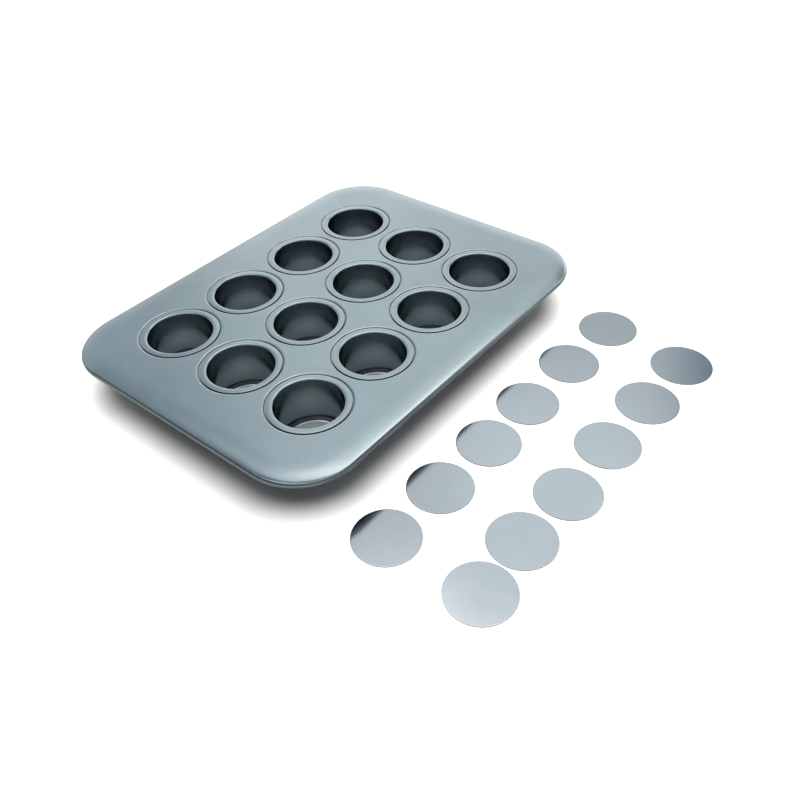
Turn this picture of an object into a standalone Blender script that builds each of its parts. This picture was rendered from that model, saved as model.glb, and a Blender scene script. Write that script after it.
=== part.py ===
# Mini cheesecake pan: a sheet steel tray with a wire-stiffened rolled rim, twelve drawn cups
# clinched into seats in the tray, and twelve loose round bottoms that lie in front of it.
# Metres, +Z up, floor at z = 0. The tray's long side runs along X, and the loose bottoms lie on
# its -Y side. The origin is the middle of the floor under the pan and its bottoms together.

import math

import bmesh
import bpy
from mathutils import Vector
from mathutils.geometry import delaunay_2d_cdt

# Cup, drawn from thin sheet: a flange, a rounded mouth, a wall that narrows a little towards
# the base, and a ledge round the push-up hole, coined thin at its edge
MOUTH_RADIUS = 0.0256
MOUTH_ROUNDING = 0.0029
THROAT_REACH = 0.0014
FLANGE_WIDTH = 0.0055
CUP_DEPTH = 0.0366
CUP_SHEET = 0.00075
WALL_TAPER = 0.0007
BASE_FILLET = 0.0008
LEDGE_WIDTH = 0.0035
LEDGE_LIP_WIDTH = 0.0012
LEDGE_LIP_EDGE = 0.0003

# Clinch fold, squeezed out of the cup wall under the tray to lock the cup in its seat
CLINCH_REACH = 0.0026
CLINCH_HEIGHT = 0.0015

# Cup grid, and the seat pressed into the tray for each cup flange, with a slope round it
CUP_COLUMNS = 4
CUP_ROWS = 3
SEAT_WEB = 0.005
SEAT_SLOPE_WIDTH = 0.001
SEAM_WIDTH = 0.0004
SEAT_CLEARANCE = 0.0003
THROAT_CLEARANCE = 0.0003

# Tray: the margins run from the axes of the outer cups to the tray's ends and sides
TRAY_SHEET = 0.0008
END_MARGIN = 0.0715
SIDE_MARGIN = 0.064
CORNER_RADIUS = 0.046

# Rolled rim: the margin droops a little, then curls round a stiffening wire
MARGIN_BEND_RADIUS = 0.100
MARGIN_BEND_ANGLE = math.radians(8)
WIRE_RADIUS = 0.0016
WIRE_CLEARANCE = 0.0003
CURL_END_ANGLE = math.radians(-195)

# Loose bottoms
BOTTOM_CLEARANCE = 0.0003
BOTTOM_SHEET = 0.0006

# Where the loose bottoms lie, from the left, in shares of a bottom's diameter: the first one's
# inset from the tray's left end, then the step to each next one, and the distance of each
# centre from the tray's front edge.
NEAR_ROW_STEP_SHARES = (0.714, 1.174, 1.168, 1.109, 1.258, 1.246)
NEAR_ROW_AWAY_SHARES = (0.752, 0.792, 0.836, 0.830, 0.847, 0.903)
FAR_ROW_STEP_SHARES = (0.744, 1.034, 1.101, 1.197, 1.214, 1.179)
FAR_ROW_AWAY_SHARES = (2.284, 2.248, 2.315, 2.292, 2.334, 2.368)

# Facet counts
ROUND_STEPS = 24
ROUNDING_STEPS = 3
CORNER_STEPS = 8
BEND_STEPS = 2
UPPER_CURL_STEPS = 3
LOWER_CURL_STEPS = 7
WIRE_BEVEL_RESOLUTION = 2

WELD_DISTANCE = 0.000001

# Sizes that follow
FLANGE_RADIUS = MOUTH_RADIUS + FLANGE_WIDTH
NECK_RADIUS = MOUTH_RADIUS + CUP_SHEET
THROAT_RADIUS = NECK_RADIUS + THROAT_REACH
BASE_RADIUS = MOUTH_RADIUS - WALL_TAPER
LEDGE_RADIUS = BASE_RADIUS - BASE_FILLET
PUSH_HOLE_RADIUS = LEDGE_RADIUS - LEDGE_WIDTH
PAN_HEIGHT = CUP_DEPTH + CUP_SHEET
SEAT_RADIUS = FLANGE_RADIUS + SEAM_WIDTH
SEAT_LIP_RADIUS = SEAT_RADIUS + SEAT_SLOPE_WIDTH
CUP_PITCH = 2 * SEAT_LIP_RADIUS + SEAT_WEB
TRAY_LENGTH = (CUP_COLUMNS - 1) * CUP_PITCH + 2 * END_MARGIN
TRAY_WIDTH = (CUP_ROWS - 1) * CUP_PITCH + 2 * SIDE_MARGIN
CURL_RADIUS = WIRE_RADIUS + WIRE_CLEARANCE + TRAY_SHEET
BOTTOM_RADIUS = LEDGE_RADIUS - BOTTOM_CLEARANCE
BOTTOM_DIAMETER = 2 * BOTTOM_RADIUS
BOTTOMS_REACH = max(FAR_ROW_AWAY_SHARES) * BOTTOM_DIAMETER + BOTTOM_RADIUS
PAN_CENTRE_Y = BOTTOMS_REACH / 2


def new_material(name, colour, roughness, metallic):
    material = bpy.data.materials.new(name)
    material.use_nodes = True
    shader = material.node_tree.nodes["Principled BSDF"]
    shader.inputs["Base Color"].default_value = (*colour, 1)
    shader.inputs["Roughness"].default_value = roughness
    shader.inputs["Metallic"].default_value = metallic
    return material


def place(name, data, material, location, parent):
    """Adds one named sub-part to the scene, carried by the pan's or the bottoms' empty."""
    if not data.materials:
        data.materials.append(material)
    part = bpy.data.objects.new(name, data)
    part.location = location
    part.parent = parent
    bpy.context.scene.collection.objects.link(part)
    return part


def finish_mesh(bm, name):
    """Turns a closed bmesh into a mesh whose round stretches are smooth and whose edges are crisp."""
    bmesh.ops.recalc_face_normals(bm, faces=bm.faces)
    mesh = bpy.data.meshes.new(name)
    bm.to_mesh(mesh)
    bm.free()
    mesh.shade_smooth()
    mesh.set_sharp_from_angle(angle=math.radians(35))
    return mesh


def skin(bm, loops):
    """Joins each closed loop of vertices to the next one with a band of quads."""
    for first, second in zip(loops, loops[1:]):
        count = len(first)
        for i in range(count):
            j = (i + 1) % count
            bm.faces.new((first[i], first[j], second[j], second[i]))


def outline_points(inset):
    """The tray's rounded rectangle, moved inwards by inset."""
    centre_x = TRAY_LENGTH / 2 - CORNER_RADIUS
    centre_y = TRAY_WIDTH / 2 - CORNER_RADIUS
    radius = CORNER_RADIUS - inset
    points = []
    for corner, (side_x, side_y) in enumerate(((1, 1), (-1, 1), (-1, -1), (1, -1))):
        for step in range(CORNER_STEPS + 1):
            angle = math.radians(90) * (corner + step / CORNER_STEPS)
            x = side_x * centre_x + radius * math.cos(angle)
            y = side_y * centre_y + radius * math.sin(angle)
            points.append((x, y))
    return points


def circle_points(centre, radius):
    turns = (math.tau * step / ROUND_STEPS for step in range(ROUND_STEPS))
    return [(centre[0] + radius * math.cos(a), centre[1] + radius * math.sin(a)) for a in turns]


def cup_centres():
    """Cup axes in the tray's own frame, front row first, from left to right."""
    centres = []
    for row in range(CUP_ROWS):
        for column in range(CUP_COLUMNS):
            x = (column - (CUP_COLUMNS - 1) / 2) * CUP_PITCH
            y = (row - (CUP_ROWS - 1) / 2) * CUP_PITCH
            centres.append((x, y))
    return centres


def rim_profile():
    """(inset, z) points from the flat top, over the drooping margin, round the curl and back below."""
    bend_depth = MARGIN_BEND_RADIUS * (1 - math.cos(MARGIN_BEND_ANGLE))
    curl_z = PAN_HEIGHT - bend_depth - CURL_RADIUS * math.cos(MARGIN_BEND_ANGLE)
    bend_end = CURL_RADIUS * (1 - math.sin(MARGIN_BEND_ANGLE))
    bend_start = bend_end + MARGIN_BEND_RADIUS * math.sin(MARGIN_BEND_ANGLE)

    def bend(thickness):
        radius = MARGIN_BEND_RADIUS - thickness
        for step in range(BEND_STEPS):
            angle = MARGIN_BEND_ANGLE * step / BEND_STEPS
            x = bend_start - radius * math.sin(angle)
            yield x, PAN_HEIGHT - MARGIN_BEND_RADIUS + radius * math.cos(angle)

    def curl(radius):
        start = math.radians(90) - MARGIN_BEND_ANGLE
        angles = [start * (1 - step / UPPER_CURL_STEPS) for step in range(UPPER_CURL_STEPS)]
        angles += [CURL_END_ANGLE * step / LOWER_CURL_STEPS for step in range(LOWER_CURL_STEPS + 1)]
        for angle in angles:
            yield CURL_RADIUS - radius * math.cos(angle), curl_z + radius * math.sin(angle)

    top = [*bend(0), *curl(CURL_RADIUS)]
    below = [*bend(TRAY_SHEET), *curl(CURL_RADIUS - TRAY_SHEET)]
    return top + below[::-1], curl_z


def seat_profile():
    """(radius, z) points of one cup seat, from the tray's top face down into the recess and back."""
    shelf_z = PAN_HEIGHT - CUP_SHEET - SEAT_CLEARANCE
    hole_radius = THROAT_RADIUS + THROAT_CLEARANCE
    slope = math.atan2(PAN_HEIGHT - shelf_z, SEAT_SLOPE_WIDTH)
    spread = TRAY_SHEET * math.tan(slope / 2)
    return [
        (SEAT_LIP_RADIUS, PAN_HEIGHT),
        (SEAT_RADIUS, shelf_z),
        (hole_radius, shelf_z),
        (hole_radius, shelf_z - TRAY_SHEET),
        (SEAT_RADIUS + spread, shelf_z - TRAY_SHEET),
        (SEAT_LIP_RADIUS + spread, PAN_HEIGHT - TRAY_SHEET),
    ]


def flat_web(bm, outer, holes):
    """Fills the flat sheet between the outer loop and the cup holes, all of them vertex loops."""
    loops = [outer, *holes]
    verts = [vert for loop in loops for vert in loop]
    edges = []
    first = 0
    for loop in loops:
        count = len(loop)
        edges += [(first + i, first + (i + 1) % count) for i in range(count)]
        first += count
    flat = [vert.co.xy for vert in verts]
    faces = delaunay_2d_cdt(flat, edges, [], 1, WELD_DISTANCE)[2]
    hole_of = {vert: number for number, loop in enumerate(loops) for vert in loop}
    for face in faces:
        corners = [verts[i] for i in face]
        on_holes = {hole_of[vert] for vert in corners}
        if len(on_holes) == 1 and 0 not in on_holes:
            continue
        bm.faces.new(corners)


def tray_mesh():
    """One pressed sheet: flat web, drooping margin, curled rim and a recessed seat for each cup."""
    bm = bmesh.new()

    def loop(points, z):
        return [bm.verts.new((x, y, z)) for x, y in points]

    rim, _ = rim_profile()
    rim_loops = [loop(outline_points(inset), z) for inset, z in rim]
    skin(bm, rim_loops)
    seats = []
    for centre in cup_centres():
        seat = [loop(circle_points(centre, radius), z) for radius, z in seat_profile()]
        skin(bm, seat)
        seats.append(seat)
    flat_web(bm, rim_loops[0], [seat[0] for seat in seats])
    flat_web(bm, rim_loops[-1], [seat[-1] for seat in seats])
    return finish_mesh(bm, "tray")


def cup_profile():
    """Closed (radius, z) section of a cup, z measured from its base, down the outside first."""
    underside = PAN_HEIGHT - CUP_SHEET
    rounding_z = PAN_HEIGHT - MOUTH_ROUNDING
    rounding_radius = MOUTH_RADIUS + MOUTH_ROUNDING
    clinch_top = underside - SEAT_CLEARANCE - TRAY_SHEET - SEAT_CLEARANCE
    outside = [
        (FLANGE_RADIUS, PAN_HEIGHT),
        (FLANGE_RADIUS, underside),
        (THROAT_RADIUS, underside),
        (NECK_RADIUS, clinch_top),
        (NECK_RADIUS + CLINCH_REACH, clinch_top),
        (NECK_RADIUS, clinch_top - CLINCH_HEIGHT),
        (BASE_RADIUS + CUP_SHEET, CUP_SHEET + BASE_FILLET),
        (LEDGE_RADIUS, 0),
        (PUSH_HOLE_RADIUS, 0),
    ]
    inside = [
        (PUSH_HOLE_RADIUS, LEDGE_LIP_EDGE),
        (PUSH_HOLE_RADIUS + LEDGE_LIP_WIDTH, CUP_SHEET),
        (LEDGE_RADIUS, CUP_SHEET),
        (BASE_RADIUS, CUP_SHEET + BASE_FILLET),
    ]
    for step in range(ROUNDING_STEPS + 1):
        angle = math.radians(90) * step / ROUNDING_STEPS
        across = rounding_radius - MOUTH_ROUNDING * math.cos(angle)
        inside.append((across, rounding_z + MOUTH_ROUNDING * math.sin(angle)))
    return outside + inside


def cup_mesh():
    bm = bmesh.new()
    section = [bm.verts.new((radius, 0, z)) for radius, z in cup_profile()]
    count = len(section)
    edges = [bm.edges.new((section[i], section[(i + 1) % count])) for i in range(count)]
    bmesh.ops.spin(
        bm, geom=edges, cent=(0, 0, 0), axis=(0, 0, 1), angle=math.tau, steps=ROUND_STEPS
    )
    bmesh.ops.remove_doubles(bm, verts=bm.verts, dist=WELD_DISTANCE)
    return finish_mesh(bm, "cup")


def loose_bottom_mesh():
    bm = bmesh.new()
    bmesh.ops.create_cone(
        bm,
        cap_ends=True,
        segments=ROUND_STEPS,
        radius1=BOTTOM_RADIUS,
        radius2=BOTTOM_RADIUS,
        depth=BOTTOM_SHEET,
    )
    bmesh.ops.translate(bm, verts=bm.verts, vec=(0, 0, BOTTOM_SHEET / 2))
    return finish_mesh(bm, "loose_bottom")


def rim_wire_curve():
    """The stiffening wire, one closed ring of round rod along the middle of the curl."""
    _, curl_z = rim_profile()
    curve = bpy.data.curves.new("rim_wire", "CURVE")
    curve.dimensions = "3D"
    curve.bevel_depth = WIRE_RADIUS
    curve.bevel_resolution = WIRE_BEVEL_RESOLUTION
    spline = curve.splines.new("POLY")
    points = outline_points(CURL_RADIUS)
    spline.points.add(len(points) - 1)
    for point, (x, y) in zip(spline.points, points):
        point.co = (x, y, curl_z, 1)
    spline.use_cyclic_u = True
    return curve


def bottom_places():
    """Floor places of the loose bottoms: the row by the tray first, each from left to right."""
    rows = (
        (NEAR_ROW_STEP_SHARES, NEAR_ROW_AWAY_SHARES),
        (FAR_ROW_STEP_SHARES, FAR_ROW_AWAY_SHARES),
    )
    places = []
    for steps, distances in rows:
        x = -TRAY_LENGTH / 2
        for step, away in zip(steps, distances):
            x += step * BOTTOM_DIAMETER
            places.append((x, PAN_CENTRE_Y - TRAY_WIDTH / 2 - away * BOTTOM_DIAMETER))
    return places


def main():
    for old in list(bpy.data.objects):
        bpy.data.objects.remove(old, do_unlink=True)

    pan = bpy.data.objects.new("pan_centre", None)
    pan.location = (0, PAN_CENTRE_Y, 0)
    bpy.context.scene.collection.objects.link(pan)

    coated = new_material("coated_steel", (0.33, 0.39, 0.43), 0.32, 0.9)
    cup_coating = new_material("cup_coating", (0.31, 0.37, 0.41), 0.34, 0.9)
    wire_steel = new_material("wire_steel", (0.55, 0.55, 0.54), 0.35, 1.0)
    bottom_steel = new_material("bottom_steel", (0.42, 0.47, 0.50), 0.25, 0.95)

    place("tray", tray_mesh(), coated, (0, 0, 0), pan)
    place("rim_wire", rim_wire_curve(), wire_steel, (0, 0, 0), pan)

    cup = cup_mesh()
    for number, (x, y) in enumerate(cup_centres(), 1):
        place(f"cup_{number:02d}", cup, cup_coating, Vector((x, y, 0)), pan)

    bottom = loose_bottom_mesh()
    for number, (x, y) in enumerate(bottom_places(), 1):
        origin = bpy.data.objects.new(f"bottom_lift_{number:02d}", None)
        origin.location = (x, y, 0)
        bpy.context.scene.collection.objects.link(origin)
        place(f"loose_bottom_{number:02d}", bottom, bottom_steel, (0, 0, 0), origin)


main()
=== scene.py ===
# %% [markdown]
# # A mini cheesecake pan with its loose bottoms
#
# The real thing is a steel sheet with twelve drawn cups clinched into it. Each cup is open below,
# apart from a narrow ledge, and a thin round plate lies on that ledge while the cake bakes. Here
# the plates lie in two rows beside the pan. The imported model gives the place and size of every
# piece. This script dresses it: it makes finer meshes of the same pieces, coats them, and sets a
# plain floor, soft light and a camera around them.

import math

import bmesh
import bpy
from mathutils import Matrix, Vector
from mathutils.geometry import delaunay_2d_cdt


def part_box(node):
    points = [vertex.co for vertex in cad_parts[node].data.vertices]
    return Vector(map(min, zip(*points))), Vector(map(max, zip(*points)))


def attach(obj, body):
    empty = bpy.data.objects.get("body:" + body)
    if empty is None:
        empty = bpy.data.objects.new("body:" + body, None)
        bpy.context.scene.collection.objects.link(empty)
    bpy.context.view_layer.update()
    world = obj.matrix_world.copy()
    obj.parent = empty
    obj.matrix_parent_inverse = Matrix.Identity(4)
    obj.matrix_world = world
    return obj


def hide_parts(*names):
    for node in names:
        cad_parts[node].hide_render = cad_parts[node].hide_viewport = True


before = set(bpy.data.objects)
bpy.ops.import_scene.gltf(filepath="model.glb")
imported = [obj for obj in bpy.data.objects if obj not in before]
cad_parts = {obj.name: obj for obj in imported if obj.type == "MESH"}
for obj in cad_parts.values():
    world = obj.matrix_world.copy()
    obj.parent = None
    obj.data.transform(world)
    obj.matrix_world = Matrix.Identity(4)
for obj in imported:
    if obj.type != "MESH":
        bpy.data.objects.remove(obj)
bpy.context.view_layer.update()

MM = 0.001

# %% [markdown]
# The frame says where things are, so the sizes that it holds are read from it and not typed again.
# A node's box gives the tray's length and width, the height of the pan, the flange of a cup and
# the middle of every round piece.

# %% Read the main sizes from the frame
tray_low, tray_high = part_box("tray")
tray_length = tray_high.x - tray_low.x
tray_width = tray_high.y - tray_low.y
pan_top = tray_high.z
pan_middle = Vector(((tray_low.x + tray_high.x) / 2, (tray_low.y + tray_high.y) / 2, 0))

cup_nodes = sorted(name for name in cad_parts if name.startswith("cup_"))
bottom_nodes = sorted(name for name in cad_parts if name.startswith("loose_bottom_"))


def node_foot(name):
    """The point of the floor under the middle of a node."""
    low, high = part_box(name)
    return Vector(((low.x + high.x) / 2, (low.y + high.y) / 2, 0))


cup_low, cup_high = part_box(cup_nodes[0])
flange_radius = (cup_high.x - cup_low.x) / 2
bottom_low, bottom_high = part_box(bottom_nodes[0])
bottom_radius = (bottom_high.x - bottom_low.x) / 2
bottom_sheet = bottom_high.z - bottom_low.z
cup_feet = [node_foot(name) for name in cup_nodes]
bottom_feet = [node_foot(name) for name in bottom_nodes]
print(f"tray {tray_length / MM:.1f} x {tray_width / MM:.1f} mm, top at {pan_top / MM:.2f} mm")
print(f"{len(cup_feet)} cups with flanges {2 * flange_radius / MM:.1f} mm across")
print(f"{len(bottom_feet)} bottoms, {2 * bottom_radius / MM:.1f} by {bottom_sheet / MM:.1f} mm")

# %% [markdown]
# Small bends can't be read from a box, so each piece's cell names its own. Pressed steel has no
# sharp corner anywhere, and those small radii catch the light as thin bright lines. That is what
# tells the eye that a surface is sheet metal. First come the few sizes that a cup shares with the
# seat that the tray holds it in: two sheets, the cup's throat and the gap between them.

# %% Sizes that a cup and its seat share
TRAY_SHEET = 0.8 * MM
CUP_SHEET = 0.75 * MM
SHEET_EDGE_RADIUS = 0.22 * MM
SEAT_CLEARANCE = 0.3 * MM
FLANGE_WIDTH = 5.5 * MM
THROAT_REACH = 1.4 * MM

mouth_radius = flange_radius - FLANGE_WIDTH
neck_radius = mouth_radius + CUP_SHEET
throat_radius = neck_radius + THROAT_REACH
print(f"mouth {2 * mouth_radius / MM:.1f} mm, throat {2 * throat_radius / MM:.1f} mm across")

# %% [markdown]
# Every piece here is a section, that is a flat outline, swept round something: round its own axis
# for a cup or a plate, and along the tray's outline for the rim. A section is easiest to think
# of as a few sharp corners, each with the radius of its bend. This helper turns such corners into
# points, and puts an arc where a corner has a radius. Corners with arcs keep the numbers few, and
# a bevel modifier couldn't give each bend its own radius as simply.

# %% Helper: bend the corners of a section
ARC_STEP = math.radians(15)
FEWEST_ARC_STEPS = 2


def bend(before, corner, after, radius):
    """Points of the arc that rounds one corner of a section."""
    corner = Vector(corner)
    back = (Vector(before) - corner).normalized()
    ahead = (Vector(after) - corner).normalized()
    opening = back.angle(ahead)
    reach = radius / math.tan(opening / 2)
    centre = corner + (back + ahead).normalized() * radius / math.sin(opening / 2)
    start = corner + back * reach - centre
    sweep = math.pi - opening
    if back.x * ahead.y - back.y * ahead.x > 0:
        sweep = -sweep
    steps = max(FEWEST_ARC_STEPS, math.ceil(abs(sweep) / ARC_STEP))
    turns = [Matrix.Rotation(sweep * step / steps, 2) for step in range(steps + 1)]
    return [tuple(centre + turn @ start) for turn in turns]


def section(corners, closed):
    """A list of (across, up, bend radius) corners as a list of (across, up) points."""
    points = []
    count = len(corners)
    for i, (across, up, radius) in enumerate(corners):
        at_end = not closed and i in (0, count - 1)
        if at_end or radius == 0:
            points.append((across, up))
            continue
        before = corners[i - 1][:2]
        after = corners[(i + 1) % count][:2]
        points += bend(before, (across, up), after, radius)
    return points


print("a right angle is bent in", len(bend((0, 0), (5, 0), (5, 5), 1)) - 1, "steps")

# %% [markdown]
# Swept, each point of the section becomes a closed loop. For a cup or a plate the loop is a
# circle, and for the rim it is the tray's rounded rectangle, drawn inwards by how far the point
# lies from the edge. Every such loop has the same number of points, so that it's easy to join.

# %% Helper: the loops of a sweep
ROUND_STEPS = 96
CORNER_STEPS = 24
CORNER_RADIUS = 48 * MM


def circle(radius, centre=(0, 0)):
    """Points round a circle, or one point if it has no radius."""
    if radius == 0:
        return [tuple(centre)]
    turns = [math.tau * step / ROUND_STEPS for step in range(ROUND_STEPS)]
    return [(centre[0] + radius * math.cos(t), centre[1] + radius * math.sin(t)) for t in turns]


def tray_outline(inset):
    """The rounded rectangle of the tray, drawn inwards by inset."""
    straight_x = tray_length / 2 - CORNER_RADIUS
    straight_y = tray_width / 2 - CORNER_RADIUS
    radius = CORNER_RADIUS - inset
    points = []
    for corner, (side_x, side_y) in enumerate(((1, 1), (-1, 1), (-1, -1), (1, -1))):
        for step in range(CORNER_STEPS + 1):
            turn = math.radians(90) * (corner + step / CORNER_STEPS)
            x = side_x * straight_x + radius * math.cos(turn)
            y = side_y * straight_y + radius * math.sin(turn)
            points.append((x, y))
    return points


print(len(circle(1)), "points round a circle and", len(tray_outline(0)), "round the tray")

# %% [markdown]
# Neighbouring loops are joined by bands of quads. A point on the axis becomes a single vertex, so
# that a plate closes in its middle. Shading is smooth, apart from edges sharper than a limit.

# %% Helper: join the loops into a mesh
SHARP_ANGLE = math.radians(40)


def loop(bm, points, z):
    return [bm.verts.new((x, y, z)) for x, y in points]


def skin(bm, loops):
    """Joins each loop to the next with quads, or with a fan where a loop is one vertex."""
    for first, second in zip(loops, loops[1:]):
        longest = max(len(first), len(second))
        for i in range(longest):
            j = (i + 1) % longest
            corners = [first[i % len(first)], first[j % len(first)]]
            corners += [second[j % len(second)], second[i % len(second)]]
            bm.faces.new(list(dict.fromkeys(corners)))


def finished(bm, name):
    """The bmesh as a mesh with outward faces and smooth bends."""
    bmesh.ops.recalc_face_normals(bm, faces=bm.faces)
    mesh = bpy.data.meshes.new(name)
    bm.to_mesh(mesh)
    bm.free()
    mesh.shade_smooth()
    mesh.set_sharp_from_angle(angle=SHARP_ANGLE)
    print(f"{name}: {len(mesh.polygons)} faces")
    return mesh


def turned(name, points, closed):
    """A section swept round the vertical axis."""
    bm = bmesh.new()
    loops = [loop(bm, circle(across), up) for across, up in points]
    if closed:
        loops.append(loops[0])
    skin(bm, loops)
    return finished(bm, name)


# %% [markdown]
# A piece is a mesh in its own frame, set down at a point of the floor. It rides on a body of the
# imported model and stands for the plain solid that it refines, which it hides.

# %% Helper: put a piece in the scene
def place(name, mesh, foot, body, node):
    piece = bpy.data.objects.new(name, mesh)
    piece.location = foot
    bpy.context.scene.collection.objects.link(piece)
    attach(piece, body)
    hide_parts(node)
    return piece


# %% [markdown]
# The cup is drawn from one round blank. Down its outside run the flange, the neck, the clinch
# fold that locks it under the tray, the wall and the ledge. Up its inside run the ledge, the small
# fillet at its foot, the tapered wall, the rounded mouth and the flange's low crown, which gives
# the mouth its bright inner ring. One closed section holds all of it, and all twelve cups share the
# mesh. The ledge thins out to a lip at the hole, which catches the light from above.

# %% Sizes of a cup
FLANGE_FALL = 0.1 * MM
MOUTH_FALL = 0.36 * MM
MOUTH_FALL_RUN = 1.8 * MM
MOUTH_ROUNDING = 1.3 * MM
CROWN_RADIUS = 2 * MM
WALL_TAPER = 0.7 * MM
BASE_FILLET = 0.45 * MM
LEDGE_WIDTH = 3.85 * MM
LEDGE_LIP_RUN = 0.6 * MM
LEDGE_LIP_EDGE = 0.27 * MM
LEDGE_LIP_RADIUS = 1.9 * MM
CLINCH_REACH = 2.6 * MM
CLINCH_HEIGHT = 1.5 * MM
CLINCH_BEND = CLINCH_HEIGHT * 0.45
FINE_EDGE_RADIUS = SHEET_EDGE_RADIUS / 2

base_radius = mouth_radius - WALL_TAPER
push_hole_radius = base_radius - BASE_FILLET - LEDGE_WIDTH
print(f"foot {2 * base_radius / MM:.1f} mm, push-up hole {2 * push_hole_radius / MM:.1f} mm across")

# %% Make the cups
def cup_section():
    """From the flange's rim down the outside, round the ledge and up the inside."""
    underside = pan_top - CUP_SHEET
    clinch_top = underside - 2 * SEAT_CLEARANCE - TRAY_SHEET
    clinch_low = clinch_top - CLINCH_HEIGHT
    clinch_radius = neck_radius + CLINCH_REACH
    return section([
        (flange_radius, pan_top - FLANGE_FALL, SHEET_EDGE_RADIUS),
        (flange_radius, underside, SHEET_EDGE_RADIUS),
        (throat_radius, underside, SHEET_EDGE_RADIUS),
        (neck_radius, clinch_top, FINE_EDGE_RADIUS),
        (clinch_radius, clinch_top, CLINCH_BEND),
        (clinch_radius, clinch_low, CLINCH_BEND),
        (neck_radius, clinch_low, SHEET_EDGE_RADIUS),
        (base_radius + CUP_SHEET, 0, BASE_FILLET + CUP_SHEET),
        (push_hole_radius, 0, FINE_EDGE_RADIUS),
        (push_hole_radius, LEDGE_LIP_EDGE, FINE_EDGE_RADIUS),
        (push_hole_radius + LEDGE_LIP_RUN, CUP_SHEET, LEDGE_LIP_RADIUS),
        (base_radius, CUP_SHEET, BASE_FILLET),
        (mouth_radius, pan_top - MOUTH_FALL, MOUTH_ROUNDING),
        (mouth_radius + MOUTH_FALL_RUN, pan_top, CROWN_RADIUS),
    ], closed=True)


cup_mesh = turned("cup_sleeve", cup_section(), closed=True)
for node, foot in zip(cup_nodes, cup_feet):
    piece_name = node.replace("cup", "cup_sleeve")
    place(piece_name, cup_mesh, foot, "pan", node)
print(len(cup_nodes), "cups placed")

# %% [markdown]
# A loose bottom is a blanked plate. The punch leaves a tiny radius on its edge. Its top is dead
# flat, so one ring of faces near the edge keeps the smooth shading from leaking into the middle.

# %% Make the loose bottoms
BOTTOM_EDGE_RADIUS = 0.16 * MM
BOTTOM_EDGE_RING = 4 * BOTTOM_EDGE_RADIUS


def bottom_section():
    """From the middle of the top, over the edge and back to the middle of the underside."""
    support = bottom_radius - BOTTOM_EDGE_RING
    return section([
        (0, bottom_sheet, 0),
        (support, bottom_sheet, 0),
        (bottom_radius, bottom_sheet, BOTTOM_EDGE_RADIUS),
        (bottom_radius, 0, BOTTOM_EDGE_RADIUS),
        (support, 0, 0),
        (0, 0, 0),
    ], closed=False)


bottom_mesh = turned("bottom_plate", bottom_section(), closed=False)
for node, foot in zip(bottom_nodes, bottom_feet):
    piece_name = node.replace("loose_bottom", "bottom_plate")
    body = node.replace("loose_bottom", "bottom")
    place(piece_name, bottom_mesh, foot, body, node)
print(len(bottom_nodes), "bottoms placed")

# %% [markdown]
# The tray's margin leaves the flat web, droops a little and then curls round a steel wire, as a
# jar lid's edge does. The droop starts gently, because a press forms it over a soft radius, and a
# sudden start would show as a hard line in the reflections. Its slope grows with a power of the
# distance, and the points are found by walking along it in short steps. The underside is the same
# walk, one sheet thickness below.

# %% The drooping margin
DROOP_LENGTH = 20 * MM
DROOP_ANGLE = math.radians(14)
DROOP_EASE = 2.0
DROOP_STEPS = 14
CURL_RADIUS = 2.7 * MM


def droop_slope(step):
    """The margin's slope after so many steps of the walk, which may be a half."""
    return DROOP_ANGLE * (step / DROOP_STEPS) ** DROOP_EASE


def droop():
    """(inset, z, slope) along the top of the drooping margin, from the flat web to the curl."""
    step_length = DROOP_LENGTH / DROOP_STEPS
    inset = 0
    z = pan_top
    walk = [(inset, z, 0)]
    for step in range(DROOP_STEPS):
        slope = droop_slope(step + 0.5)
        inset -= step_length * math.cos(slope)
        z -= step_length * math.sin(slope)
        walk.append((inset, z, droop_slope(step + 1)))
    shift = CURL_RADIUS * (1 - math.sin(DROOP_ANGLE)) - inset
    return [(inset + shift, z, slope) for inset, z, slope in walk]


print(f"the margin drops {(pan_top - droop()[-1][1]) / MM:.2f} mm before it curls")

# %% [markdown]
# The curl is an arc that goes on from the droop and ends under the tray, past the wire. The
# section goes out along the top, round the curl's outer face, over the sheet's rounded edge and
# back along the inner face and the underside.

# %% Section of the rolled rim
CURL_END_ANGLE = math.radians(-195)
CURL_STEPS = 26
CURL_END_STEPS = 4
WEB_SUPPORT = 0.6 * MM


def rim_section():
    """Open section of the rim, from the top of the web round the curl to the web's underside."""
    walk = droop()
    curl_z = walk[-1][1] - CURL_RADIUS * math.cos(DROOP_ANGLE)
    start = math.radians(90) - DROOP_ANGLE
    angles = [start + (CURL_END_ANGLE - start) * n / CURL_STEPS for n in range(1, CURL_STEPS + 1)]

    def curl(radius):
        return [(CURL_RADIUS - radius * math.cos(a), curl_z + radius * math.sin(a)) for a in angles]

    top = [(inset, z) for inset, z, slope in walk] + curl(CURL_RADIUS)
    below = [(inset + TRAY_SHEET * math.sin(slope), z - TRAY_SHEET * math.cos(slope))
             for inset, z, slope in walk] + curl(CURL_RADIUS - TRAY_SHEET)
    middle = (Vector(top[-1]) + Vector(below[-1])) / 2
    start_side = Vector(top[-1]) - middle
    turns = [math.pi * n / CURL_END_STEPS for n in range(1, CURL_END_STEPS)]
    edge = [tuple(middle + Matrix.Rotation(turn, 2) @ start_side) for turn in turns]
    first = (top[0][0] + WEB_SUPPORT, pan_top)
    last = (first[0], pan_top - TRAY_SHEET)
    return [first, *top, *edge, *reversed(below), last], curl_z


rim_points, curl_z = rim_section()
print(f"rim section: {len(rim_points)} points, curl centre at {curl_z / MM:.2f} mm")

# %% [markdown]
# The seats come next: a shallow dip, a step down for the flange, a shelf under it and a hole for
# the neck. The step is sloped and wider than the flange, and leaves the dark line of the seam.

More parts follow.
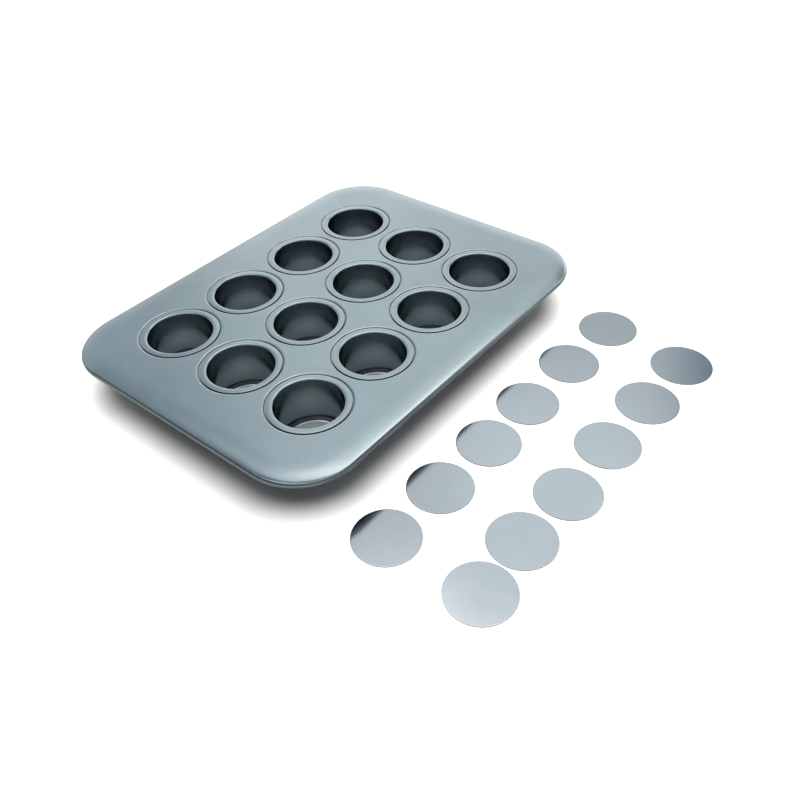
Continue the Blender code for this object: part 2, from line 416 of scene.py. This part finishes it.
# %% Section of a seat
SEAM_WIDTH = 0.6 * MM
SEAT_DIP = 0.2 * MM
SEAT_DIP_RUN = 1.0 * MM
SEAT_SLOPE_RUN = 0.6 * MM
SEAT_LIP_RADIUS = 0.9 * MM
SEAT_FOLD_RADIUS = 0.2 * MM
THROAT_CLEARANCE = 0.3 * MM

seat_radius = flange_radius + SEAM_WIDTH


def seat_section():
    """From the web's top down the slope, along the shelf and back along the underside."""
    shelf = pan_top - CUP_SHEET - SEAT_CLEARANCE
    hole = throat_radius + THROAT_CLEARANCE
    lip = seat_radius + SEAT_SLOPE_RUN
    lip_top = pan_top - SEAT_DIP
    dip = lip + SEAT_DIP_RUN
    slope = math.atan2(lip_top - shelf, SEAT_SLOPE_RUN)
    outwards = TRAY_SHEET * math.tan(slope / 2)
    rest = dip + WEB_SUPPORT
    return section([
        (rest, pan_top, 0),
        (dip, pan_top, SEAT_LIP_RADIUS),
        (lip, lip_top, SEAT_LIP_RADIUS),
        (seat_radius, shelf, SEAT_FOLD_RADIUS),
        (hole, shelf, SHEET_EDGE_RADIUS),
        (hole, shelf - TRAY_SHEET, SHEET_EDGE_RADIUS),
        (seat_radius + outwards, shelf - TRAY_SHEET, TRAY_SHEET),
        (lip + outwards, lip_top - TRAY_SHEET, SEAT_LIP_RADIUS - TRAY_SHEET),
        (dip, pan_top - TRAY_SHEET, 0),
        (rest, pan_top - TRAY_SHEET, 0),
    ], closed=False)


print(f"seat {2 * seat_radius / MM:.1f} mm across, {len(seat_section())} points in its section")

# %% [markdown]
# Rim and seats share the flat web. It has no shape of its own, so a Delaunay fill between the
# rim's first loop and the twelve seats' first loops is enough, once for the top and once for the
# underside. Faces that the fill lays inside a seat touch that one seat alone, and are left out.

# %% Make the tray
FILL_INSIDE = 1
SAME_POINT = MM / 1000


def web(bm, outer, holes):
    """Fills the flat sheet between one outer loop and the seats' loops."""
    loops = [outer, *holes]
    verts = [vert for ring in loops for vert in ring]
    edges = []
    for ring in loops:
        first = verts.index(ring[0])
        edges += [(first + i, first + (i + 1) % len(ring)) for i in range(len(ring))]
    ring_of = {vert: number for number, ring in enumerate(loops) for vert in ring}
    flat = [vert.co.xy for vert in verts]
    for face in delaunay_2d_cdt(flat, edges, [], FILL_INSIDE, SAME_POINT)[2]:
        corners = [verts[i] for i in face]
        touched = {ring_of[vert] for vert in corners}
        if len(touched) > 1 or 0 in touched:
            bm.faces.new(corners)


def tray_mesh():
    bm = bmesh.new()
    rim = [loop(bm, tray_outline(inset), z) for inset, z in rim_points]
    skin(bm, rim)
    seats = []
    for foot in cup_feet:
        centre = (foot - pan_middle).xy
        seat = [loop(bm, circle(across, centre), up) for across, up in seat_section()]
        skin(bm, seat)
        seats.append(seat)
    web(bm, rim[0], [seat[0] for seat in seats])
    web(bm, rim[-1], [seat[-1] for seat in seats])
    return finished(bm, "tray_sheet")


tray = place("tray_sheet", tray_mesh(), pan_middle, "pan", "tray")

# %% [markdown]
# The wire inside the curl hardly shows, only through the gap where the curl's edge comes back
# under the tray. It still gets a round section, so that a look from below finds a real wire.

# %% Make the rim wire
WIRE_RADIUS = 1.6 * MM
WIRE_STEPS = 20


def wire_mesh():
    bm = bmesh.new()
    loops = []
    for step in range(WIRE_STEPS):
        turn = math.tau * step / WIRE_STEPS
        inset = CURL_RADIUS - WIRE_RADIUS * math.cos(turn)
        loops.append(loop(bm, tray_outline(inset), curl_z + WIRE_RADIUS * math.sin(turn)))
    skin(bm, [*loops, loops[0]])
    return finished(bm, "rim_wire_ring")


wire = place("rim_wire_ring", wire_mesh(), pan_middle, "pan", "rim_wire")

# %% [markdown]
# Materials are node graphs. Written node by node, even a small sum is hard to read, so one class
# wraps a node's output and overloads the arithmetic: `1 - mask * 0.5` then adds its Math nodes by
# itself.

# %% Helper: shader maths as expressions
class Value:
    """An output of a node that takes part in sums and products."""

    def __init__(self, graph, socket):
        self.graph = graph
        self.socket = socket

    def math(self, operation, *operands):
        numbers = dict(enumerate(operands))
        return self.graph.node("ShaderNodeMath", {"operation": operation}, numbers)

    def __add__(self, other):
        return self.math("ADD", self, other)

    def __sub__(self, other):
        return self.math("SUBTRACT", self, other)

    def __rsub__(self, other):
        return self.math("SUBTRACT", other, self)

    def __mul__(self, other):
        return self.math("MULTIPLY", self, other)

    __radd__ = __add__
    __rmul__ = __mul__


# %% [markdown]
# A second class is the graph, whose one method makes every other kind of node. It takes the
# node's type, its settings, which come first because they can change the sockets, and then the
# values or links of its sockets.

# %% Helper: a graph of nodes
class Graph:
    """A node tree that starts empty, with its output node made."""

    def __init__(self, tree, output):
        self.tree = tree
        tree.nodes.clear()
        self.output = tree.nodes.new(output)

    def node(self, kind, settings=None, sockets=None, out=0):
        """Makes a node, sets it up, then fills its sockets with values or links."""
        node = self.tree.nodes.new(kind)
        for name, setting in (settings or {}).items():
            setattr(node, name, setting)
        for key, value in (sockets or {}).items():
            self.fill(self.find(node.inputs, key), value)
        return Value(self, self.find(node.outputs, out))

    def find(self, sockets, key):
        """The socket with this number, identifier or name."""
        if isinstance(key, int):
            return sockets[key]
        return next(s for s in sockets if key in (s.identifier, s.name))

    def fill(self, socket, value):
        if isinstance(value, Value):
            self.tree.links.new(value.socket, socket)
        else:
            socket.default_value = value

    def finish(self, socket, value):
        self.tree.links.new(value.socket, self.output.inputs[socket])


# %% [markdown]
# The helpers below name what the coatings share. Every piece reads its own object space, in
# metres, so grain keeps its real size. The pieces of a kind share one material, and a random number
# per object moves the pattern, so that no two cups or plates are alike.

# %% Helper: patterns on a surface
def new_graph(name):
    material = bpy.data.materials.new(name)
    material.use_nodes = True
    return material, Graph(material.node_tree, "ShaderNodeOutputMaterial")


def object_point(graph):
    return graph.node("ShaderNodeTexCoord", out="Object")


def moved(graph, point, shift):
    """The point, moved by up to shift metres by the object's random number from 0 to 1."""
    luck = graph.node("ShaderNodeObjectInfo", out="Random")
    offset = graph.node("ShaderNodeVectorMath", {"operation": "SCALE"},
                        {0: (shift, shift / 2, shift / 3), "Scale": luck})
    return graph.node("ShaderNodeVectorMath", {"operation": "ADD"}, {0: point, 1: offset})


def stretched(graph, point, factors):
    return graph.node("ShaderNodeVectorMath", {"operation": "MULTIPLY"}, {0: point, 1: factors})


def cloud(graph, point, size, detail=2.0, roughness=0.5):
    """Soft noise from 0 to 1, whose patches are about size metres across."""
    return graph.node("ShaderNodeTexNoise", {"noise_dimensions": "3D"},
                      {"Vector": point, "Scale": 1 / size, "Detail": detail,
                       "Roughness": roughness}, out="Fac")


def between(graph, value, low, high):
    """A smooth step from 0 at low to 1 at high."""
    return graph.node("ShaderNodeMapRange", {"interpolation_type": "SMOOTHSTEP"},
                      {"Value": value, "From Min": low, "From Max": high})


def blend(graph, mask, dark, light):
    return graph.node("ShaderNodeMix", {"data_type": "RGBA"},
                      {"Factor_Float": mask, "A_Color": dark, "B_Color": light},
                      out="Result_Color")


# %% [markdown]
# Nonstick coating on a pan like this is a sprayed film with metal flakes in it. It reads as satin
# metal with a blue-grey cast: the flakes give the coloured, soft reflection, and the clear film
# over them a thin neutral one. So the shader is metallic under a coat. The spray leaves a faint
# orange peel, the press leaves the sheet a little wavy, and both bend the reflections through
# bump. Under the film the metal keeps its grain, which a stretched noise draws as fine lines.
# Bends and edges rub against other pans first, so there the film is a little smoother and lighter;
# the lighter colour is partly that wear and partly a painted highlight along the bends. Cycles
# finds them by itself as Pointiness, which is above one half where a surface bulges.

# %% Wear and painted highlight on bends and edges
NOISE_MIDDLE = 0.5
FLAT_POINTINESS = 0.506
BENT_POINTINESS = 0.52
RAGGEDNESS = 0.012


def edge_wear_and_sheen(graph, smear):
    """1 on bends and edges, whose film wear and a painted highlight lighten, 0 on flat sheet, with
    a ragged border.
    """
    bulge = graph.node("ShaderNodeNewGeometry", out="Pointiness")
    ragged = bulge + (smear - NOISE_MIDDLE) * RAGGEDNESS
    return between(graph, ragged, FLAT_POINTINESS, BENT_POINTINESS)


# %% Sizes and shares of the film's patterns
PATTERN_SHIFT = 0.4
HAZE_SIZE = 45 * MM
WAVE_SIZE = 30 * MM
SMEAR_SIZE = 9 * MM
PEEL_SIZE = 1.3 * MM
LINE_SIZE = 0.5 * MM
FLAKE_SIZE = 0.35 * MM

HAZE_SHARE = 0.5
SMEAR_SHARE = 0.15
FLAKE_SHARE = 0.25
LINE_SHARE = 0.1
DARK_SHADE = 0.3
LIGHT_SHADE = 0.7
# partly wear, partly painted highlight: how much the bends' lighter colour shows
RUBBED_AND_SHEEN_SHARE = 0.6

SMEAR_ROUGHNESS = 0.06
FLAKE_ROUGHNESS = 0.03
WORN_SMOOTHNESS = 0.05
COAT_ROUGHNESS = 0.14
print(f"patterns from {FLAKE_SIZE / MM:.2f} to {HAZE_SIZE / MM:.0f} mm across")

# %% The sprayed coating
def coating(name, tints, rubbed_and_sheen, rough, coat, peel_depth, wave_depth, grain, grain_depth):
    """A coated sheet: grain is how much each axis stretches the lines under the film."""
    material, graph = new_graph(name)
    point = moved(graph, object_point(graph), PATTERN_SHIFT)
    haze = cloud(graph, point, HAZE_SIZE, detail=3.0)
    smear = cloud(graph, point, SMEAR_SIZE, detail=4.0, roughness=0.6)
    flakes = cloud(graph, point, FLAKE_SIZE, detail=1.0)
    peel = cloud(graph, point, PEEL_SIZE, detail=2.0)
    wave = cloud(graph, point, WAVE_SIZE, detail=1.0)
    lines = cloud(graph, stretched(graph, point, grain), LINE_SIZE, detail=2.0)
    wear_and_sheen = edge_wear_and_sheen(graph, smear)

    shade = haze * HAZE_SHARE + smear * SMEAR_SHARE + flakes * FLAKE_SHARE + lines * LINE_SHARE
    film = blend(graph, between(graph, shade, DARK_SHADE, LIGHT_SHADE), *tints)
    # bends and edges lighten, partly by wear and partly as a painted highlight
    colour = blend(graph, wear_and_sheen * RUBBED_AND_SHEEN_SHARE, film, rubbed_and_sheen)
    roughness = (rough + (smear - NOISE_MIDDLE) * SMEAR_ROUGHNESS
                 + (flakes - NOISE_MIDDLE) * FLAKE_ROUGHNESS - wear_and_sheen * WORN_SMOOTHNESS)
    relief = peel * peel_depth + wave * wave_depth + lines * grain_depth
    normal = graph.node("ShaderNodeBump", None,
                        {"Height": relief, "Distance": 1.0, "Strength": 1.0})
    surface = graph.node("ShaderNodeBsdfPrincipled", None, {
        "Base Color": colour,
        "Metallic": 1.0,
        "Roughness": roughness,
        "Normal": normal,
        "Coat Weight": coat,
        "Coat Roughness": COAT_ROUGHNESS,
    })
    graph.finish("Surface", surface)
    print(f"{name}: a film of {len(material.node_tree.nodes)} nodes")
    return material, graph, surface


# %% Coat the tray
SHEET_TINTS = (0.25, 0.338, 0.405, 1), (0.285, 0.386, 0.46, 1)
# partly wear, partly painted highlight: the lighter colour of bends and edges
SHEET_RUBBED_AND_SHEEN = (0.4, 0.465, 0.505, 1)
SHEET_PEEL = 0.0025 * MM
NO_LINES = (1, 1, 1)

tray_coating, _, _ = coating(
    "tray_coating", SHEET_TINTS, SHEET_RUBBED_AND_SHEEN, rough=0.26, coat=0.7,
    peel_depth=SHEET_PEEL, wave_depth=0.06 * MM,
    grain=NO_LINES, grain_depth=0)
tray.data.materials.append(tray_coating)

# %% [markdown]
# Cups and plates are cut from coated sheet, so their cut edge is bare. It's only as thick as the
# sheet, and its near-black colour is painted shade: from the side it draws the thin dark line round
# each flange and each plate. The distance from the piece's axis tells where that edge is, and there
# the film's colour gives way to the painted shade and its roughness to the bare metal's.

# %% Helper: a cut edge with painted shade
# painted shade: the near-black cut edge draws the dark line round a flange or a plate
CUT_EDGE_PAINTED_SHADE = (0.06, 0.062, 0.065, 1)
CUT_ROUGHNESS = 0.55
CUT_START = 0.7
CUT_FULL = 0.3


def fed_by(graph, socket):
    """What a linked input socket receives, to be used in a new expression."""
    return Value(graph, socket.links[0].from_socket)


def from_axis(graph):
    """The distance from a round piece's axis."""
    flat = stretched(graph, object_point(graph), (1, 1, 0))
    return graph.node("ShaderNodeVectorMath", {"operation": "LENGTH"}, {0: flat}, out="Value")


def shaded_cut_edge(graph, surface, radius, edge_radius):
    """Gives a round piece a rough cut edge at its radius, painted dark as shade."""
    start = radius - edge_radius * CUT_START
    full = radius - edge_radius * CUT_FULL
    # painted shade: the edge's colour turns near black here
    cut = between(graph, from_axis(graph), start, full)
    inputs = surface.socket.node.inputs
    film = fed_by(graph, inputs["Base Color"])
    roughness = fed_by(graph, inputs["Roughness"])
    graph.fill(inputs["Base Color"], blend(graph, cut, film, CUT_EDGE_PAINTED_SHADE))
    graph.fill(inputs["Roughness"], roughness + (CUT_ROUGHNESS - roughness) * cut)


# %% [markdown]
# Inside a cup the colour holds painted shade: just below the mouth the wall turns darker and less
# blue, and the ledge is darker still. The lip of its hole holds a painted highlight, a pale colour
# where it catches the light from above. All of these follow from the height and from the distance
# to the axis.

# %% Coat the cups
# painted shade: the cup's wall below the mouth is darker and less blue than the film
WALL_PAINTED_SHADE_COLOUR = (0.25, 0.285, 0.315, 1)
WALL_SHADE_SHARE = 0.8
WALL_TOP = pan_top - 1.2 * MM
WALL_FULL = pan_top - 4 * MM
# painted shade on the ledge at the bottom of the cup
LEDGE_PAINTED_SHADE_COLOUR = (0.13, 0.15, 0.165, 1)
LEDGE_FULL = 1.2 * MM
LEDGE_TOP = 3 * MM
# painted highlight on the lip of the push-up hole
LIP_PAINTED_HIGHLIGHT_COLOUR = (0.68, 0.78, 0.84, 1)
LIP_FULL = push_hole_radius + LEDGE_LIP_RUN * 0.8
LIP_END = push_hole_radius + LEDGE_LIP_RUN * 1.4
LINES_UP_THE_WALL = (1, 1, 0.08)


def cup_material():
    material, graph, surface = coating(
        "cup_coating", SHEET_TINTS, SHEET_RUBBED_AND_SHEEN, rough=0.23, coat=0.7,
        peel_depth=SHEET_PEEL, wave_depth=0.03 * MM,
        grain=LINES_UP_THE_WALL, grain_depth=0.0015 * MM)
    height = graph.node("ShaderNodeSeparateXYZ", None, {0: object_point(graph)}, out="Z")
    flange = between(graph, height, WALL_FULL, WALL_TOP)
    above_ledge = between(graph, height, LEDGE_FULL, LEDGE_TOP)
    past_lip = between(graph, from_axis(graph), LIP_FULL, LIP_END)
    base_colour = surface.socket.node.inputs["Base Color"]
    film = fed_by(graph, base_colour)
    # the ledge gets painted shade and the lip of its hole a painted highlight
    ledge = blend(graph, past_lip, LIP_PAINTED_HIGHLIGHT_COLOUR, LEDGE_PAINTED_SHADE_COLOUR)
    # painted shade on the wall below the mouth
    shaded_wall = blend(graph, WALL_SHADE_SHARE, film, WALL_PAINTED_SHADE_COLOUR)
    wall = blend(graph, above_ledge, ledge, shaded_wall)
    graph.fill(base_colour, blend(graph, flange, wall, film))
    shaded_cut_edge(graph, surface, flange_radius, SHEET_EDGE_RADIUS)
    return material


cup_mesh.materials.append(cup_material())

# %% [markdown]
# A plate was never drawn, so it's flatter than the pan, and its film is lighter and shines more.
# The lines under the film run along the strip that the plates were punched from.

# %% Coat the loose bottoms
PLATE_TINTS = (0.33, 0.4, 0.47, 1), (0.36, 0.43, 0.5, 1)
PLATE_RUBBED_AND_SHEEN = (0.45, 0.51, 0.56, 1)
LINES_ALONG_THE_STRIP = (0.06, 1, 1)


def plate_material():
    material, graph, surface = coating(
        "plate_coating", PLATE_TINTS, PLATE_RUBBED_AND_SHEEN, rough=0.13, coat=0.3,
        peel_depth=0.0012 * MM, wave_depth=0.04 * MM,
        grain=LINES_ALONG_THE_STRIP, grain_depth=0.0004 * MM)
    shaded_cut_edge(graph, surface, bottom_radius, BOTTOM_EDGE_RADIUS)
    return material


bottom_mesh.materials.append(plate_material())

# %% [markdown]
# The wire is bare drawn steel. Drawing through a die leaves fine lines along it, and the oven
# leaves it a little brown in places.

# %% Bare wire
WIRE_SHIFT = 0.1
WIRE_COLOUR = (0.52, 0.52, 0.51, 1)
WIRE_ROUGHNESS = 0.3
DIE_LINE_SIZE = 0.25 * MM
DIE_LINE_DEPTH = 0.01 * MM
STAIN_COLOUR = (0.38, 0.33, 0.28, 1)
STAIN_SIZE = 18 * MM
STAIN_START = 0.45
STAIN_FULL = 0.7
STAIN_ROUGHNESS = 0.2


def wire_steel():
    material, graph = new_graph("wire_steel")
    point = moved(graph, object_point(graph), WIRE_SHIFT)
    lines = cloud(graph, point, DIE_LINE_SIZE, detail=2.0)
    stain = cloud(graph, point, STAIN_SIZE, detail=3.0)
    stained = between(graph, stain, STAIN_START, STAIN_FULL)
    colour = blend(graph, stained, WIRE_COLOUR, STAIN_COLOUR)
    normal = graph.node("ShaderNodeBump", None,
                        {"Height": lines * DIE_LINE_DEPTH, "Distance": 1.0})
    surface = graph.node("ShaderNodeBsdfPrincipled", None, {
        "Base Color": colour,
        "Metallic": 1.0,
        "Roughness": WIRE_ROUGHNESS + stain * STAIN_ROUGHNESS,
        "Normal": normal,
    })
    graph.finish("Surface", surface)
    print(f"wire_steel: {len(material.node_tree.nodes)} nodes")
    return material


wire.data.materials.append(wire_steel())

# %% [markdown]
# The floor is a plain white sheet, large enough to fill the picture. Like a light table, it glows
# for the camera alone, and only beyond the pan, so it's white wherever nothing shades it. The glow
# follows the distance from the pan's outline, with rounder corners, because a soft shadow draws its
# corners in, and its fade near the pan paints the edge of the soft shadow under the rim. Well
# inside the outline the paper is lighter and bluer, a painted light that makes the floor look pale
# where it shows through the cups' holes.

# %% Helper: the distance from the pan's outline
SHADE_MIDDLE = pan_middle + Vector((-1.5, 1.5, 0)) * MM
SHADE_CORNER = 62 * MM


def past_outline(graph, inner, outer):
    """A smooth step over the distance from the pan's outline, negative under the pan."""
    offset = graph.node("ShaderNodeVectorMath", {"operation": "SUBTRACT"},
                        {0: object_point(graph), 1: SHADE_MIDDLE})
    aside = graph.node("ShaderNodeVectorMath", {"operation": "ABSOLUTE"}, {0: offset})
    straight = (tray_length / 2 - SHADE_CORNER, tray_width / 2 - SHADE_CORNER, 0)
    past = graph.node("ShaderNodeVectorMath", {"operation": "SUBTRACT"}, {0: aside, 1: straight})
    past = graph.node("ShaderNodeVectorMath", {"operation": "MAXIMUM"}, {0: past, 1: (0, 0, 0)})
    reach = graph.node("ShaderNodeVectorMath", {"operation": "LENGTH"}, {0: past}, out="Value")
    return between(graph, reach - SHADE_CORNER, inner, outer)


# %% Floor
FLOOR_SIZE = 8.0
FLOOR_GAP = 0.05 * MM
SHADE_INNER = -16 * MM
SHADE_OUTER = 16.5 * MM
HOLE_INNER = -42 * MM
HOLE_OUTER = -28 * MM
PAPER_COLOUR = (0.73, 0.715, 0.695, 1)
# painted light: lighter, bluer paper deep under the pan stands for light bounced down the cups
PAINTED_HOLE_LIGHT_COLOUR = (0.85, 0.97, 1.0, 1)
WHITE = (1, 1, 1, 1)


def floor_material():
    material, graph = new_graph("studio_floor")
    seen = graph.node("ShaderNodeLightPath", out="Is Camera Ray")
    # painted shadow: the glow fades towards the pan and so draws the edge of its soft shadow
    painted_shadow_glow = past_outline(graph, SHADE_INNER, SHADE_OUTER)
    # painted light: deep under the pan the paper turns lighter and bluer
    beyond_painted_hole_light = past_outline(graph, HOLE_INNER, HOLE_OUTER)
    colour = blend(graph, beyond_painted_hole_light, PAINTED_HOLE_LIGHT_COLOUR, PAPER_COLOUR)
    paper = graph.node("ShaderNodeBsdfDiffuse", None, {"Color": colour})
    glow = graph.node("ShaderNodeEmission", None,
                      {"Color": WHITE, "Strength": painted_shadow_glow * seen})
    surface = graph.node("ShaderNodeAddShader", None, {0: paper, 1: glow})
    graph.finish("Surface", surface)
    return material


bpy.ops.mesh.primitive_plane_add(size=FLOOR_SIZE, location=(0, 0, -FLOOR_GAP))
floor = bpy.context.object
floor.name = "studio_floor"
floor.data.materials.append(floor_material())
print(f"floor {FLOOR_SIZE} m wide, {FLOOR_GAP / MM:.2f} mm under the pan's feet")

# %% [markdown]
# Satin metal shows what is around it, so the room is the only lamp that this scene needs. It is
# a set of soft-edged panels on a dark dome, as in a product studio: a pale wall beyond the pan, a
# large diffuser overhead and little on the camera's side, which makes the near bends of the pan
# dark. A panel is given by its headings, counted from straight beyond the pan, positive to the
# right, by its heights above the floor, both in degrees, and by how bright it is.

# %% The panels of the room
PANELS = (
    # heading from and to, height from and to, brightness
    (-70, -40, -5, 26, 0.57),
    (-40, -15, -5, 26, 0.86),
    (-15, 25, -5, 26, 1.3),
    (25, 50, -5, 26, 1.7),
    (-70, -40, 26, 40, 0.74),
    (-40, -15, 26, 40, 0.7),
    (-15, 5, 26, 40, 1.15),
    (5, 25, 26, 40, 0.9),
    (25, 50, 26, 40, 0.25),
    (50, 80, -5, 26, 0.6),
    (50, 80, 26, 40, 1.4),
    (-70, -15, 40, 48, 0.38),
    (-15, 5, 40, 48, 1.03),
    (5, 25, 40, 48, 1.3),
    (25, 50, 40, 47, 0.75),
    (50, 80, 40, 48, 0.3),
    (-70, -40, 48, 56, 0.59),
    (-40, -15, 48, 56, 1.07),
    (-15, 5, 48, 55, 1.12),
    (5, 25, 48, 59, 1.3),
    (-40, -15, 56, 74, 1.6),
    (-15, 5, 55, 74, 2.4),
    (5, 25, 59, 74, 2.6),
    (25, 50, 47, 74, 2.8),
    (80, 200, 56, 74, 0.97),
    (-200, -70, 56, 74, 1.26),
    (80, 200, -5, 50, 0.24),
    (-200, -70, -5, 26, 0.2),
    (-200, -70, 26, 56, 0.14),
    (-200, 200, 74, 100, 0.3),
)
print(len(PANELS), "panels, the brightest at", max(panel[-1] for panel in PANELS))

# %% [markdown]
# A world's texture coordinate is the direction that is looked in. Its parts to the right, ahead
# and upwards give the heading and the height, and a smooth step on either side of each limit
# gives a panel its soft edge.

# %% Helper: one panel
AHEAD = 49
PANEL_EDGE = 3.5


def direction(heading, height):
    """The unit vector at a heading from +Y towards +X and a height, both in degrees."""
    heading = math.radians(heading)
    height = math.radians(height)
    flat = math.cos(height)
    return Vector((math.sin(heading) * flat, math.cos(heading) * flat, math.sin(height)))


def look_angles(graph):
    """The heading and the height of the direction that is looked in, in degrees."""
    look = graph.node("ShaderNodeTexCoord", out="Generated")

    def along(axis):
        return graph.node("ShaderNodeVectorMath", {"operation": "DOT_PRODUCT"},
                          {0: look, 1: axis}, out="Value")

    right = along(direction(AHEAD + 90, 0))
    ahead = along(direction(AHEAD, 0))
    heading = graph.node("ShaderNodeMath", {"operation": "ARCTAN2"}, {0: right, 1: ahead})
    height = graph.node("ShaderNodeMath", {"operation": "ARCSINE"}, {0: along((0, 0, 1))})
    return heading * math.degrees(1), height * math.degrees(1)


def panel_mask(graph, angles, limits):
    """1 inside a panel and 0 outside, with soft edges."""
    heading, height = angles

    def past(value, limit):
        return between(graph, value, limit - PANEL_EDGE, limit + PANEL_EDGE)

    left, right, low, high = limits
    across = past(heading, left) - past(heading, right)
    up = past(height, low) - past(height, high)
    return across * up


# %% [markdown]
# The panels add up to one brightness. What is dim is a little bluer than what is bright, as shade
# is in a lit studio. The camera itself sees plain white in place of the room.

# %% The room
DIM_TO_BRIGHT = (0.25, 1.0)
BRIGHT_TO_GLARING = (1.3, 2.6)
DIM_COLOUR = (0.9, 1.0, 1.08, 1)
BRIGHT_COLOUR = (1.03, 1.0, 0.93, 1)
GLARING_COLOUR = (1.2, 1.02, 0.88, 1)


def make_room():
    world = bpy.data.worlds.new("studio_room")
    world.use_nodes = True
    graph = Graph(world.node_tree, "ShaderNodeOutputWorld")
    angles = look_angles(graph)
    light = 0
    for *limits, brightness in PANELS:
        light = panel_mask(graph, angles, limits) * brightness + light
    colour = blend(graph, between(graph, light, *DIM_TO_BRIGHT), DIM_COLOUR, BRIGHT_COLOUR)
    colour = blend(graph, between(graph, light, *BRIGHT_TO_GLARING), colour, GLARING_COLOUR)
    camera_ray = graph.node("ShaderNodeLightPath", out="Is Camera Ray")
    colour = blend(graph, camera_ray, colour, WHITE)
    strength = light * (1 - camera_ray) + camera_ray
    background = graph.node("ShaderNodeBackground", None, {"Color": colour, "Strength": strength})
    graph.finish("Surface", background)
    bpy.context.scene.world = world
    print(f"{world.name}: {len(world.node_tree.nodes)} nodes")


make_room()

# %% [markdown]
# The camera stands where the photograph was taken from. Its place is given from the middle of
# the tray's top, and its aim as a heading, a downward tilt and a small roll.

# %% Camera
CAMERA_FROM_TRAY_TOP = Vector((-0.38935, -0.40119, 0.38242))
CAMERA_HEADING = math.radians(49.130)
CAMERA_TILT = math.radians(41.675)
CAMERA_ROLL = math.radians(-3.014)
CAMERA_LENS = 36.848
CAMERA_SENSOR = 36.0
CAMERA_CLIP_START = 0.01


def add_camera():
    data = bpy.data.cameras.new("camera")
    data.sensor_width = CAMERA_SENSOR
    data.lens = CAMERA_LENS
    data.clip_start = CAMERA_CLIP_START
    camera = bpy.data.objects.new("camera", data)
    heading = Matrix.Rotation(-CAMERA_HEADING, 4, "Z")
    tilt = Matrix.Rotation(math.radians(90) - CAMERA_TILT, 4, "X")
    roll = Matrix.Rotation(CAMERA_ROLL, 4, "Z")
    place_at = Matrix.Translation(pan_middle + Vector((0, 0, pan_top)) + CAMERA_FROM_TRAY_TOP)
    camera.matrix_world = place_at @ heading @ tilt @ roll
    bpy.context.scene.collection.objects.link(camera)
    bpy.context.scene.camera = camera
    print("camera at, m:", [round(side, 3) for side in camera.matrix_world.translation])


add_camera()
bpy.context.scene.view_settings.view_transform = "Standard"
